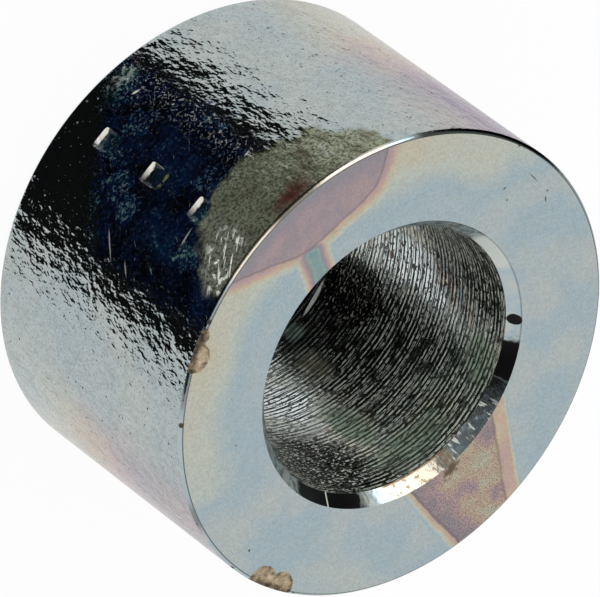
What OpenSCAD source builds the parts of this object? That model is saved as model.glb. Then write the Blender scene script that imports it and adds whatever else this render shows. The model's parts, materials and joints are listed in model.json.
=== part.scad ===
// Spacer washer: a short steel ring cut from round bar, drilled through and zinc plated.
// The axis is +Z and the back face lies on z = 0, so the front face is at z = length.
// Angles round the ring are measured from -Y towards +X.

/* [Ring] */
// Outside diameter of the ring
outer_d = 40; // [36:0.5:60]
// Diameter of the drilled bore
bore_d = 23; // [10:0.5:28]
// Length of the ring along its axis
length = 25; // [21:0.5:60]

/* [Edges] */
// Radial width of the countersink at each mouth of the bore
sink_width = 0.85; // [0.2:0.05:1.5]
// Depth of the countersink along the axis
sink_depth = 1; // [0.2:0.05:2]
// Size of the broken edge round each end of the outside
rim_chamfer = 0.3; // [0.1:0.05:0.8]

/* [Single rim nick] */
// Angle of the single nick in the front rim
nick_angle = 25; // [0:1:359]
// Width of the single nick where it meets the front face
nick_width = 3.4; // [2:0.1:5]
// How far the single nick reaches in from the outside
nick_reach = 1.6; // [0.8:0.05:2.5]
// Depth of the single nick below the front face
nick_depth = 0.25; // [0.2:0.05:0.9]

/* [Double rim nick] */
// Angle halfway between the two joined nicks
pair_angle = 100.5; // [0:0.5:359]
// Angle from one of the joined nicks to the other
pair_step = 5.8; // [4:0.1:8]
// Width of each joined nick where it meets the front face
pair_width = 2.7; // [2:0.1:4]
// How far the joined nicks reach in from the outside
pair_reach = 1.75; // [0.8:0.05:2.5]
// Depth of the joined nicks below the front face
pair_depth = 0.25; // [0.2:0.05:0.9]

/* [Jaw marks] */
// Number of jaw marks in the row along the side
mark_count = 3; // [1:1:4]
// Angle of the row round the ring
mark_angle = -2.2; // [-180:0.1:180]
// Height of the first mark above the back face
mark_start = 4.2; // [1:0.1:5]
// Distance from one mark to the next along the axis
mark_pitch = 6.4; // [3:0.1:6.4]
// Width of a mark across the row
mark_width = 1.9; // [0.8:0.1:4]
// Length of a mark along the row
mark_length = 2.5; // [1.5:0.1:2.8]
// Length of the steep wall at the start of a mark
mark_wall = 0.3; // [0.1:0.05:1]
// Depth that the tooth of the jaw was pressed into the side
mark_depth = 0.3; // [0.1:0.02:0.5]

/* [Hidden] */

$fn = 96;
outer_r = outer_d / 2;
bore_r = bore_d / 2;
sink_r = bore_r + sink_width;
// Overlap by which a cut stands clear of the surface that it opens
clear = 0.5;

// Half section of the plain ring, turned about the axis
module ring_section() {
    polygon([
        [sink_r, 0],
        [outer_r - rim_chamfer, 0],
        [outer_r, rim_chamfer],
        [outer_r, length - rim_chamfer],
        [outer_r - rim_chamfer, length],
        [sink_r, length],
        [bore_r, length - sink_depth],
        [bore_r, sink_depth]
    ]);
}

// Ball that dents the front rim: its cap has the given width on the front face
// and the given depth below it, and its inner edge lies reach in from the outside
module nick_ball(angle, width, reach, depth) {
    cap_r = width / 2;
    ball_r = (cap_r * cap_r + depth * depth) / (2 * depth);
    rotate([0, 0, angle])
        translate([0, -(outer_r - reach + cap_r), length - depth + ball_r])
            sphere(r = ball_r);
}

// Two overlapping dents that share one stretch of the front rim
module nick_pair() {
    for (side = [-1, 1])
        nick_ball(pair_angle + side * pair_step / 2, pair_width, pair_reach, pair_depth);
}

// Wedge that one tooth of a jaw pressed in: a steep wall, then a ramp back out
module jaw_tooth() {
    rotate([90, 0, 0])
        linear_extrude(height = mark_width, center = true)
            polygon([
                [outer_r, 0],
                [outer_r - mark_depth, mark_wall],
                [outer_r, mark_length],
                [outer_r + clear, mark_length],
                [outer_r + clear, 0]
            ]);
}

// Row of equal marks along one line of the side
module jaw_marks() {
    for (i = [0 : mark_count - 1])
        rotate([0, 0, mark_angle - 90])
            translate([0, 0, mark_start + i * mark_pitch])
                jaw_tooth();
}

module spacer() {
    color("lightsteelblue")
        difference() {
            rotate_extrude() ring_section();
            nick_ball(nick_angle, nick_width, nick_reach, nick_depth);
            nick_pair();
            jaw_marks();
        }
}

spacer();
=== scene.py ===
# %% [markdown]
# # A zinc-plated spacer washer
# The real object is one turned piece: a thick steel ring, drilled through, with its edges
# broken, then plated with zinc and dipped in a chromate bath that left rainbow tints.
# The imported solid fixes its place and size. This lesson turns a finer ring in that place,
# with the drill's grooves and the dents as real shape, and then paints the plating.

# %% Load the frame
import json
import math

import bpy
from mathutils import Matrix, Vector


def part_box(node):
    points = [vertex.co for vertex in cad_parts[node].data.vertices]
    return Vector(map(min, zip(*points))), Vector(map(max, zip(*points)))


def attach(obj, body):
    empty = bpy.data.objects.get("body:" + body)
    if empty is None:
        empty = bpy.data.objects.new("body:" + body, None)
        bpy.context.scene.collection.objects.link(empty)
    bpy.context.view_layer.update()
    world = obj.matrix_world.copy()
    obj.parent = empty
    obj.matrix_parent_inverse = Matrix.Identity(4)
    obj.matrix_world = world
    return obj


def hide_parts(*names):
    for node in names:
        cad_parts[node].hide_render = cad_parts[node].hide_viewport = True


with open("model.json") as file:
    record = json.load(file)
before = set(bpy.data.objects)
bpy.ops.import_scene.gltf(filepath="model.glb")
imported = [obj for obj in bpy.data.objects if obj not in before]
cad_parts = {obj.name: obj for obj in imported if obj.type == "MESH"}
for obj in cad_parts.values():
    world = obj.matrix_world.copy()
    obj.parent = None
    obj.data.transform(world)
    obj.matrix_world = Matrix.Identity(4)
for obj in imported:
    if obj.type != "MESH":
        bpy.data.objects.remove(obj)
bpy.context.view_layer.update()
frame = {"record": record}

# %% [markdown]
# ## Sizes
# Everything below is worked out in millimetres, because that is how such a ring is drawn.
# The outside, the length and the bore come from the frame; the small features repeat the
# sizes of the solid. Angles round the ring are in degrees, from -Y towards +X.

# %% Sizes of the ring and its damage
MM = 0.001
low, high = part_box("spacer")
mounts = {mount["name"]: mount for mount in frame["record"]["mounts"]}
outer_r = (high.x - low.x) / 2 / MM
length = (high.z - low.z) / MM
bore_r = mounts["bore"]["dims"]["r_mm"]
sink_depth = (length - mounts["bore"]["dims"]["length_mm"]) / 2
sink_width = 0.85
rim_chamfer = 0.3
sink_r = bore_r + sink_width

# Rim nicks: angle, width on the face, reach in from the outside, depth
nicks = [
    (25.0, 3.4, 1.6, 0.25),
    (97.6, 2.7, 1.75, 0.25),
    (103.4, 2.7, 1.75, 0.25),
]

mark_count = 3
mark_angle = -2.2
mark_start = 4.2
mark_pitch = 6.4
mark_width = 1.9
mark_length = 2.5
mark_wall = 0.3
mark_depth = 0.3
print(f"ring {2 * outer_r:.2f} x {length:.2f} mm, bore {2 * bore_r:.2f} mm")

# %% [markdown]
# ## Small helpers for node trees
# Both the shape and the finishes are node trees. Here a wire stands for the output of a
# node, and adding or multiplying wires joins them with Math nodes, so that a formula can be
# written as a formula. The other helpers add one kind of node each and give its wire.

# %% Wires
class Wire:
    """An output of a node; + - * / and abs join wires and numbers with Math nodes."""

    def __init__(self, socket):
        self.socket = socket
        self.tree = socket.id_data

    def __add__(self, other):
        return calc("ADD", self, other)

    def __sub__(self, other):
        return calc("SUBTRACT", self, other)

    def __rsub__(self, other):
        return calc("SUBTRACT", other, self)

    def __mul__(self, other):
        return calc("MULTIPLY", self, other)

    def __truediv__(self, other):
        return calc("DIVIDE", self, other)

    def __rtruediv__(self, other):
        return calc("DIVIDE", other, self)

    def __neg__(self):
        return calc("MULTIPLY", self, -1.0)

    def __abs__(self):
        return calc("ABSOLUTE", self)


class Outputs:
    """The outputs of a node, each of them a wire, by name or by number."""

    def __init__(self, made):
        self.node = made

    def __getitem__(self, key):
        return Wire(self.node.outputs[key])


def fill(socket, value):
    """Links a socket to a wire, or gives it a plain value."""
    if isinstance(value, Wire):
        value.tree.links.new(value.socket, socket)
    else:
        socket.default_value = value


def node(tree, kind, inputs=None, **settings):
    """Adds a node with its settings, fills its inputs and gives its outputs."""
    made = tree.nodes.new(kind)
    for key, value in settings.items():
        setattr(made, key, value)
    for key, value in (inputs or {}).items():
        fill(made.inputs[key], value)
    return Outputs(made)


def tree_of(values):
    """The tree that the first wire among some values belongs to."""
    return next(value.tree for value in values if isinstance(value, Wire))


print("wires ready")

# %% Node helpers
FLOAT = "NodeSocketFloat"
VECTOR = "NodeSocketVector"
COLOUR = "NodeSocketColor"
GEOMETRY = "NodeSocketGeometry"
OBJECT = "NodeSocketObject"
AXIS = (0.0, 0.0, 1.0)
ORIGIN = (0.0, 0.0, 0.0)


def calc(operation, *values):
    """One Math node; gives its result."""
    return node(tree_of(values), "ShaderNodeMath", dict(enumerate(values)), operation=operation)[0]


def vector(operation, *values, result="Vector"):
    """One Vector Math node; gives its vector, or its value."""
    made = node(tree_of(values), "ShaderNodeVectorMath", dict(enumerate(values)), operation=operation)
    return made[result]


def distance(first, second):
    """How far apart two points are."""
    return vector("DISTANCE", first, second, result="Value")


def scaled(point, factor):
    """A vector made longer or shorter."""
    return node(point.tree, "ShaderNodeVectorMath", {0: point, "Scale": factor}, operation="SCALE")[0]


def rotated(point, angle):
    """A point turned about the axis of the ring."""
    return node(point.tree, "ShaderNodeVectorRotate", {"Vector": point, "Axis": AXIS, "Angle": angle})[0]


def split(point):
    """The X, Y and Z of a point."""
    return node(point.tree, "ShaderNodeSeparateXYZ", {"Vector": point})


def join(x, y, z=0.0):
    """The point at X, Y and Z."""
    return node(tree_of((x, y, z)), "ShaderNodeCombineXYZ", {"X": x, "Y": y, "Z": z})[0]


def most(first, *others):
    """The largest of some values."""
    for other in others:
        first = calc("MAXIMUM", first, other)
    return first


def ramp(value, start, end, low_value=0.0, high_value=1.0, smooth=True):
    """Maps a value from start..end to low_value..high_value and holds it there."""
    return node(value.tree, "ShaderNodeMapRange", {
        "Value": value, "From Min": start, "From Max": end,
        "To Min": low_value, "To Max": high_value,
    }, interpolation_type="SMOOTHSTEP" if smooth else "LINEAR")[0]


def noise(point, scale, seed, detail=2.0, warp=0.0):
    """Cloudy noise from 0 to 1; another seed gives another pattern."""
    return node(point.tree, "ShaderNodeTexNoise", {
        "Vector": point, "Scale": scale, "Detail": detail, "W": seed, "Distortion": warp,
    }, noise_dimensions="4D")[0]


def new_group(name, kind, inputs, outputs):
    """A node group with named sockets; gives the tree, its inputs and its outputs."""
    tree = bpy.data.node_groups.new(name, kind)
    for label, socket_type in inputs:
        tree.interface.new_socket(name=label, in_out="INPUT", socket_type=socket_type)
    for label, socket_type in outputs:
        tree.interface.new_socket(name=label, in_out="OUTPUT", socket_type=socket_type)
    given = node(tree, "NodeGroupInput")
    result = tree.nodes.new("NodeGroupOutput")
    return tree, given, result.inputs


print("helpers ready")

# %% [markdown]
# ## Where the rows and spokes of the mesh lie
# A turned ring is a section swept round an axis, so its mesh is a grid: rows along the
# section, spokes round the axis. An even grid fine enough for the dents would be huge.
# Instead the rows crowd together where the section is worked, and the spokes where the
# jaw marks and the nicks are.

# %% Rows along the section
ZONES = [
    "front_face", "front_rim", "side", "back_rim",
    "back_face", "back_sink", "bore", "front_sink",
]
COARSE_ROW = 0.6
FACE_ROW = 2 * COARSE_ROW
FINE_ROW = 0.13
GROOVE_ROW = 0.1
SINK_ROW = 0.34
EDGE_STEP = math.radians(15.0)
EDGE_WEAR = 1.4
NICK_ZONE = 2.3
RIM_ZONE = 1.2
rim_r = outer_r - rim_chamfer
mark_starts = [mark_start + i * mark_pitch for i in range(mark_count)]


def stops(start, end, step):
    """Values from start towards end, about one step apart, without the end itself."""
    count = max(1, round(abs(end - start) / step))
    return [start + (end - start) * i / count for i in range(count)]


def side_heights():
    """Heights of the side's rows from the front rim down, close together at the damage."""
    heights = []
    z = length - rim_chamfer
    while z > rim_chamfer + FINE_ROW:
        heights.append(z)
        in_mark = any(m - 2 * FINE_ROW < z < m + mark_length + 2 * FINE_ROW for m in mark_starts)
        worked = in_mark or z > length - RIM_ZONE
        z -= FINE_ROW if worked else COARSE_ROW
    return heights


def worn_edge():
    """Steps out and down over a broken edge: a chamfer whose two corners are worn round."""
    steps = []
    for turn in stops(0, math.pi / 2, EDGE_STEP):
        out = rim_chamfer * math.sin(turn) ** EDGE_WEAR
        down = rim_chamfer * (1 - math.cos(turn) ** EDGE_WEAR)
        steps.append((out, down))
    return steps


def section_rows():
    """Radius, height and zone of each row, once round the section and back to its start."""
    fine_r = outer_r - NICK_ZONE
    rows = [(r, length, 0) for r in stops(sink_r, fine_r, FACE_ROW)]
    rows += [(r, length, 0) for r in stops(fine_r, rim_r, FINE_ROW)]
    rows += [(rim_r + out, length - down, 1) for out, down in worn_edge()]
    rows += [(outer_r, z, 2) for z in side_heights()]
    rows += [(outer_r - down, rim_chamfer - out, 3) for out, down in worn_edge()]
    rows += [(r, 0, 4) for r in stops(rim_r, sink_r, FACE_ROW)]
    rows += [(sink_r - sink_width * s, sink_depth * s, 5) for s in stops(0, 1, SINK_ROW)]
    rows += [(bore_r, z, 6) for z in stops(sink_depth, length - sink_depth, GROOVE_ROW)]
    rows += [(bore_r + sink_width * s, length - sink_depth * (1 - s), 7) for s in stops(0, 1, SINK_ROW)]
    rows.append((sink_r, length, 7))
    return rows


rows = section_rows()
print(len(rows), "rows along the section")

# %% Spokes round the axis
COARSE_SPOKE = 2.2
FINE_SPOKE = 0.45
worked_angles = [(-6.5, 2.0), (18.5, 31.5), (92.5, 108.5)]


def spoke_angles():
    """Angles of the spokes, close together where the rim or the side is dented."""
    angles = []
    angle = -180.0
    while angle < 180.0 - FINE_SPOKE:
        angles.append(angle)
        worked = any(start < angle < end for start, end in worked_angles)
        angle += FINE_SPOKE if worked else COARSE_SPOKE
    return angles + [180.0]


spokes = spoke_angles()
print(len(spokes), "spokes,", 2 * len(rows) * len(spokes), "triangles at most")

# %% Guide meshes that the tree reads
def add_object(name, data):
    """A new object in the scene."""
    made = bpy.data.objects.new(name, data)
    bpy.context.scene.collection.objects.link(made)
    return made


def guide(name, points):
    """A mesh of loose points that the Geometry Nodes tree looks up by number."""
    mesh = bpy.data.meshes.new(name)
    mesh.from_pydata(points, [], [])
    return add_object(name, mesh)


def shares(steps):
    """How far along the whole each step ends, from 0 to 1."""
    total = sum(steps)
    reached = [0.0]
    for step in steps:
        reached.append(reached[-1] + step / total)
    return reached


row_steps = [math.dist(a[:2], b[:2]) for a, b in zip(rows, rows[1:])]
section_guide = guide("section_guide", [(r, s, z) for (r, z, _), s in zip(rows, shares(row_steps))])
zone_mark = section_guide.data.attributes.new("zone", "INT", "POINT")
zone_mark.data.foreach_set("value", [zone for _, _, zone in rows])
spoke_guide = guide("spoke_guide", [(angle, (angle + 180.0) / 360.0, 0.0) for angle in spokes])
print("guides:", section_guide.name, spoke_guide.name)

# %% [markdown]
# ## A dent that a ball leaves
# The nicks in the rim are where the ring was dropped on something hard. Each one is made
# by moving every point inside a ball out to the ball's surface, with a little noise so
# that the crushed metal isn't smooth. It is a small group, placed once for each nick.

# %% Group: ball dent
CRUSH_SIZE = 2.2
CRUSH_DEPTH = 0.16


def around(angle, from_axis, height=0.0):
    """A point by its angle round the ring, its distance from the axis and its height."""
    turn = math.radians(angle)
    return (from_axis * math.sin(turn), -from_axis * math.cos(turn), height)


def ball_of(angle, width, reach, depth):
    """Centre and radius of the ball whose cap has that width and depth on the face."""
    cap_r = width / 2
    radius = (cap_r * cap_r + depth * depth) / (2 * depth)
    return around(angle, outer_r - reach + cap_r, length - depth + radius), radius


def make_ball_dent():
    """The group that moves points out of a ball."""
    tree, given, result = new_group(
        "Ball dent", "GeometryNodeTree",
        [("Geometry", GEOMETRY), ("Centre", VECTOR), ("Radius", FLOAT), ("Seed", FLOAT)],
        [("Geometry", GEOMETRY)])
    place = node(tree, "GeometryNodeInputPosition")[0]
    crush = noise(place, CRUSH_SIZE, given["Seed"], 3.0)
    reach = given["Radius"] + (crush - 0.5) * CRUSH_DEPTH
    outward = vector("NORMALIZE", vector("SUBTRACT", place, given["Centre"]))
    moved = node(tree, "GeometryNodeSetPosition", {
        "Geometry": given["Geometry"],
        "Selection": calc("LESS_THAN", distance(place, given["Centre"]), reach),
        "Position": vector("ADD", given["Centre"], scaled(outward, reach)),
    })
    fill(result["Geometry"], moved[0])
    return tree


ball_dent = make_ball_dent()
print("group:", ball_dent.name)

# %% [markdown]
# ## The turned ring
# The tree rolls a flat grid into the ring. Each point of the grid knows its row and its
# spoke, looks up the section's radius and height and the spoke's angle, and moves there.
# In the bore the radius rises and falls along a helix, as a drill leaves it, and on the
# side the row of jaw marks sinks in: a steep wall, then a ramp back out. Last the grid's
# seams are merged and every zone gets its own finish.

# %% Tree: rolled grid
RING_INPUTS = [
    ("Section", OBJECT), ("Spokes", OBJECT),
    ("Groove Pitch", FLOAT), ("Groove Depth", FLOAT), ("Groove Seed", FLOAT),
    ("Mark Count", FLOAT), ("Mark Angle", FLOAT), ("Mark Start", FLOAT), ("Mark Pitch", FLOAT),
    ("Mark Width", FLOAT), ("Mark Length", FLOAT), ("Mark Wall", FLOAT), ("Mark Depth", FLOAT),
]


def look_up(geometry, value, index, data_type="FLOAT_VECTOR"):
    """Reads a value from a numbered point of a guide mesh."""
    return node(geometry.tree, "GeometryNodeSampleIndex", {
        "Geometry": geometry, "Value": value, "Index": index,
    }, data_type=data_type, domain="POINT")["Value"]


def named(tree, name, data_type="FLOAT"):
    """Reads an attribute that was stored under a name."""
    return node(tree, "GeometryNodeInputNamedAttribute", {"Name": name}, data_type=data_type)[0]


def store(geometry, name, value, data_type="FLOAT", domain="POINT"):
    """Stores a value under a name."""
    return node(geometry.tree, "GeometryNodeStoreNamedAttribute", {
        "Geometry": geometry, "Name": name, "Value": value,
    }, data_type=data_type, domain=domain)[0]


def read_guide(tree, guide_input):
    """The points of a guide mesh and their number."""
    points = node(tree, "GeometryNodeObjectInfo", {"Object": guide_input})["Geometry"]
    return points, node(tree, "GeometryNodeAttributeDomainSize", {"Geometry": points})["Point Count"]


def numbered(share, count):
    """The number of a row or spoke, from its place on a grid of size 1."""
    return calc("ROUND", (share + 0.5) * (count - 1.0))


def rolled_grid(tree, given):
    """A flat grid that carries its row, spoke and bake map, ready to be rolled up."""
    section, row_count = read_guide(tree, given["Section"])
    around_axis, spoke_count = read_guide(tree, given["Spokes"])
    grid = node(tree, "GeometryNodeMeshGrid", {
        "Size X": 1.0, "Size Y": 1.0, "Vertices X": spoke_count, "Vertices Y": row_count,
    })["Mesh"]
    place = node(tree, "GeometryNodeInputPosition")[0]
    flat = split(place)
    mesh = store(grid, "row", numbered(flat["Y"], row_count))
    mesh = store(mesh, "spoke", numbered(flat["X"], spoke_count))
    section_part = split(look_up(section, place, named(tree, "row")))
    spoke_part = split(look_up(around_axis, place, named(tree, "spoke")))
    mesh = store(mesh, "OFBake", join(spoke_part["Y"], section_part["Y"]), "FLOAT2", "CORNER")
    return mesh, section, section_part, spoke_part


print("grid ready")

# %% Tree: grooves and jaw marks
GROOVE_SWAY = 0.35
GROOVE_WOBBLE = 1.1
GROOVE_PATCH = 0.4
MARK_SIDE = 0.3


def helix_wave(place, angle, height, pitch, seed):
    """Rises from 0 to 0.5 and falls again once for each pitch along a wandering helix."""
    wander = noise(place, GROOVE_SWAY, seed) * GROOVE_WOBBLE
    turn = height / pitch + angle / 360.0
    return calc("PINGPONG", turn + wander, 0.5)


def groove_rise(given, place, angle, height):
    """How far the drill's helical groove lifts or sinks the wall of the bore."""
    wave = helix_wave(place, angle, height, given["Groove Pitch"], given["Groove Seed"])
    patchy = ramp(noise(place, GROOVE_PATCH, given["Groove Seed"], 4.0), 0.3, 0.7, 0.35, 1.0)
    return (wave * 2.0 - 0.5) * patchy * given["Groove Depth"]


def mark_drop(given, angle, height):
    """How deep the row of jaw marks sinks the side at this angle and height."""
    above = height - given["Mark Start"]
    number = most(calc("FLOOR", above / given["Mark Pitch"]), 0.0)
    number = calc("MINIMUM", number, given["Mark Count"] - 1.0)
    along = above - number * given["Mark Pitch"]
    wall = ramp(along, 0.0, given["Mark Wall"], smooth=False)
    slope = ramp(along, given["Mark Length"], given["Mark Wall"], smooth=False)
    across = (angle - given["Mark Angle"]) * (math.radians(1.0) * outer_r)
    inside = ramp(abs(across) - given["Mark Width"] * 0.5, 0.0, -MARK_SIDE)
    return calc("MINIMUM", wall, slope) * inside * given["Mark Depth"]


print("grooves and marks ready")

# %% Tree: the whole ring
MERGE_WITHIN = 0.0005
SAME = 0.1
finishes = {zone: bpy.data.materials.new(zone) for zone in ZONES}


def swept(radius, angle, height):
    """The point at a radius, an angle and a height."""
    turn = calc("RADIANS", angle)
    return join(radius * calc("SINE", turn), -radius * calc("COSINE", turn), height)


def make_turned_ring():
    """The tree that rolls the grid up, works the ring and gives each zone its finish."""
    tree, given, result = new_group("Turned ring", "GeometryNodeTree", RING_INPUTS, [("Geometry", GEOMETRY)])
    mesh, section, section_part, spoke_part = rolled_grid(tree, given)
    angle, radius, height = spoke_part["X"], section_part["X"], section_part["Z"]
    zone = look_up(section, named(tree, "zone", "INT"), named(tree, "row"), "INT")
    first_row = calc("FLOOR", named(tree, "row"))
    face_zone = look_up(section, named(tree, "zone", "INT"), first_row, "INT")
    mesh = store(mesh, "face_zone", face_zone, "INT", "FACE")

    plain = swept(radius, angle, height)
    in_bore = calc("COMPARE", zone, ZONES.index("bore"), SAME)
    on_side = calc("COMPARE", zone, ZONES.index("side"), SAME)
    grooved = groove_rise(given, plain, angle, height) * in_bore
    marked = mark_drop(given, angle, height) * on_side
    worked = swept(radius + grooved - marked, angle, height)
    mesh = node(tree, "GeometryNodeSetPosition", {"Geometry": mesh, "Position": worked})[0]
    for number, nick in enumerate(nicks):
        centre, ball_r = ball_of(*nick)
        mesh = node(tree, "GeometryNodeGroup", {
            "Geometry": mesh, "Centre": centre, "Radius": ball_r, "Seed": float(number),
        }, node_tree=ball_dent)[0]
    mesh = node(tree, "GeometryNodeMergeByDistance", {"Geometry": mesh, "Distance": MERGE_WITHIN})[0]
    mesh = node(tree, "GeometryNodeTransform", {"Geometry": mesh, "Scale": (MM, MM, MM)})[0]
    mesh = node(tree, "GeometryNodeSetShadeSmooth", {"Geometry": mesh})[0]
    mesh = node(tree, "GeometryNodeRealizeInstances", {"Geometry": mesh})[0]
    for number, name in enumerate(ZONES):
        mesh = node(tree, "GeometryNodeSetMaterial", {
            "Geometry": mesh,
            "Selection": calc("COMPARE", named(tree, "face_zone", "INT"), float(number), SAME),
            "Material": finishes[name],
        })[0]
    fill(result["Geometry"], mesh)
    return tree


turned_ring = make_turned_ring()
print("tree:", turned_ring.name, len(turned_ring.nodes), "nodes")

# %% Turn the ring and keep it as a plain mesh
GROOVE_PITCH = 0.5
GROOVE_SEED = 3.0
ring_values = {
    "Section": section_guide, "Spokes": spoke_guide,
    "Groove Pitch": GROOVE_PITCH, "Groove Depth": 0.05, "Groove Seed": GROOVE_SEED,
    "Mark Count": float(mark_count), "Mark Angle": mark_angle, "Mark Start": mark_start,
    "Mark Pitch": mark_pitch, "Mark Width": mark_width, "Mark Length": mark_length,
    "Mark Wall": mark_wall, "Mark Depth": mark_depth,
}
SHARP_EDGE = math.radians(28.0)


def turn_ring():
    """Runs the tree on an empty mesh and keeps the result as a plain mesh piece."""
    blank = add_object("ring_blank", bpy.data.meshes.new("ring_blank"))
    modifier = blank.modifiers.new("Turned ring", "NODES")
    modifier.node_group = turned_ring
    for item in turned_ring.interface.items_tree:
        if item.in_out == "INPUT":
            modifier[item.identifier] = ring_values[item.name]
    depsgraph = bpy.context.evaluated_depsgraph_get()
    mesh = bpy.data.meshes.new_from_object(blank.evaluated_get(depsgraph), depsgraph=depsgraph)
    mesh.name = "spacer_ring"
    # A grid comes with one empty slot before the finishes
    mesh.materials.pop(index=0)
    for leftover in (blank, section_guide, spoke_guide):
        bpy.data.objects.remove(leftover)
    return add_object("spacer_ring", mesh)


ring = turn_ring()
for spare in ("row", "spoke", "face_zone"):
    ring.data.attributes.remove(ring.data.attributes[spare])
ring.data.set_sharp_from_angle(angle=SHARP_EDGE)
ring.data.calc_loop_triangles()
print("ring:", len(ring.data.vertices), "points,", len(ring.data.loop_triangles), "triangles,",
      [slot.name for slot in ring.data.materials])

# %% [markdown]
# ## Colours of the plating
# A chromate film is only some hundred nanometres thick, and its colour comes from its
# thickness, as on a soap bubble: clear, pale blue, cream, peach, pink, mauve, and then
# green and blue where it is thickest. One group turns a thickness into that colour, so
# every stain on the ring keeps the same order of fringes.

# %% Group: film colour
def paint(red, green, blue):
    """A colour on the 0 to 255 scale of a picture, as Blender's linear colour."""
    def linear(value):
        share = value / 255
        return share / 12.92 if share <= 0.04045 else ((share + 0.055) / 1.055) ** 2.4
    return (linear(red), linear(green), linear(blue), 1.0)


FILM_COLOURS = [
    (0.00, paint(199, 206, 202)),
    (0.12, paint(178, 198, 206)),
    (0.22, paint(206, 211, 200)),
    (0.30, paint(212, 206, 184)),
    (0.38, paint(214, 191, 166)),
    (0.46, paint(204, 174, 172)),
    (0.58, paint(174, 160, 167)),
    (0.68, paint(160, 158, 166)),
    (0.78, paint(156, 182, 174)),
    (0.88, paint(110, 150, 170)),
    (1.00, paint(52, 78, 120)),
]


def colour_ramp(value, shades):
    """A Color Ramp with the given places and colours."""
    made = node(value.tree, "ShaderNodeValToRGB", {"Fac": value})
    elements = made.node.color_ramp.elements
    while len(elements) < len(shades):
        elements.new(1.0)
    for element, (place, colour) in zip(elements, shades):
        element.position = place
        element.color = colour
    return made["Color"]


def make_film_colour():
    """The group that turns a film's thickness into its colour."""
    tree, given, result = new_group(
        "Film colour", "ShaderNodeTree", [("Thickness", FLOAT)], [("Colour", COLOUR)])
    fill(result["Colour"], colour_ramp(given["Thickness"], FILM_COLOURS))
    return tree


film_colour = make_film_colour()
print("group:", film_colour.name)

# %% [markdown]
# ## Where a point lies on the ring
# Every finish needs to know where it is: the place in millimetres, the angle round the
# axis, the distance from it and the height. A group works these out once from Object
# coordinates, which stay with the piece in any view.

# %% Group: ring place
def make_ring_place():
    """The group that gives the place of a point on the ring."""
    tree, _, result = new_group(
        "Ring place", "ShaderNodeTree", [],
        [("Place", VECTOR), ("Angle", FLOAT), ("Radius", FLOAT), ("Height", FLOAT), ("Unrolled", VECTOR)])
    place = scaled(node(tree, "ShaderNodeTexCoord")["Object"], 1 / MM)
    part = split(place)
    turn = calc("ARCTAN2", part["X"], -part["Y"])
    fill(result["Place"], place)
    fill(result["Angle"], calc("DEGREES", turn))
    fill(result["Radius"], distance(join(part["X"], part["Y"]), ORIGIN))
    fill(result["Height"], part["Z"])
    fill(result["Unrolled"], join(turn * outer_r, part["Z"]))
    return tree


ring_place = make_ring_place()
print("group:", ring_place.name)

# %% [markdown]
# ## A ragged patch
# Stains have no clean outline. The patch group measures how far a point is from a centre,
# in units of the patch's own radii, and bends that distance with noise. The mask is 1 at
# the centre and falls to 0 at the edge.

# %% Group: ragged patch
def make_ragged_patch():
    """The group that masks one ragged patch."""
    tree, given, result = new_group(
        "Ragged patch", "ShaderNodeTree",
        [("Point", VECTOR), ("Centre", VECTOR), ("Radii", VECTOR), ("Turn", FLOAT),
         ("Ragged", FLOAT), ("Grain", FLOAT), ("Soft", FLOAT), ("Seed", FLOAT)],
        [("Mask", FLOAT)])
    offset = vector("SUBTRACT", given["Point"], given["Centre"])
    turned = rotated(offset, calc("RADIANS", given["Turn"]))
    away = distance(vector("DIVIDE", turned, given["Radii"]), ORIGIN)
    bend = noise(given["Point"], given["Grain"], given["Seed"], 4.0) - 0.5
    bent = away + bend * given["Ragged"]
    fill(result["Mask"], ramp(bent, 1.0, 1.0 - given["Soft"]))
    return tree


ragged_patch = make_ragged_patch()


def use(group, inputs):
    """Places a group of a finish; gives its outputs."""
    return node(tree_of(inputs.values()), "ShaderNodeGroup", inputs, node_tree=group)


def patch(point, centre, radii, turn=0.0, ragged=0.5, grain=0.5, soft=0.3, seed=0.0):
    """The mask of one ragged patch; a flat one needs only two numbers for centre and radii."""
    return use(ragged_patch, {
        "Point": point, "Centre": (*centre, 0.0)[:3], "Radii": (*radii, 1.0)[:3], "Turn": turn,
        "Ragged": ragged, "Grain": grain, "Soft": soft, "Seed": seed,
    })["Mask"]


def patches(point, rows, first_seed, **edge):
    """The mask of a list of flat patches: centre, radii and, if given, turn and share."""
    found = 0.0
    for number, (centre, radii, *rest) in enumerate(rows):
        turn, share = rest or (0.0, 1.0)
        one = patch(point, centre, radii, turn, seed=first_seed + number, **edge)
        found = most(found, one * share)
    return found


print("group:", ragged_patch.name)

# %% [markdown]
# ## Orange peel, pits and grime
# Plating over a rolled skin looks like leather: shallow dimples a third of a millimetre
# across, with a few black pits; the dimples' valleys are painted a little darker as shade.
# The nicks hold tan grime that is darker towards the outside. Each is a group, because the
# side, the edges and the faces all use them.

# %% Group: orange peel
PEEL_STRETCH = 0.65


def make_orange_peel():
    """The group that gives the height of the dimples and a mask of their valleys for painted shade."""
    tree, given, result = new_group(
        "Orange peel", "ShaderNodeTree",
        [("Point", VECTOR), ("Dimple", FLOAT), ("Seed", FLOAT)], [("Height", FLOAT), ("Valley", FLOAT)])
    drawn_out = vector("MULTIPLY", given["Point"], (1.0, 1.0, PEEL_STRETCH))
    scale = 1.0 / given["Dimple"]
    dimples = noise(drawn_out, scale, given["Seed"], 1.5)
    swell = noise(drawn_out, scale * 0.3, given["Seed"], 1.0)
    fill(result["Height"], dimples + swell * 1.5)
    fill(result["Valley"], ramp(dimples, 0.6, 0.35))
    return tree


orange_peel = make_orange_peel()
print("group:", orange_peel.name)

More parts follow.
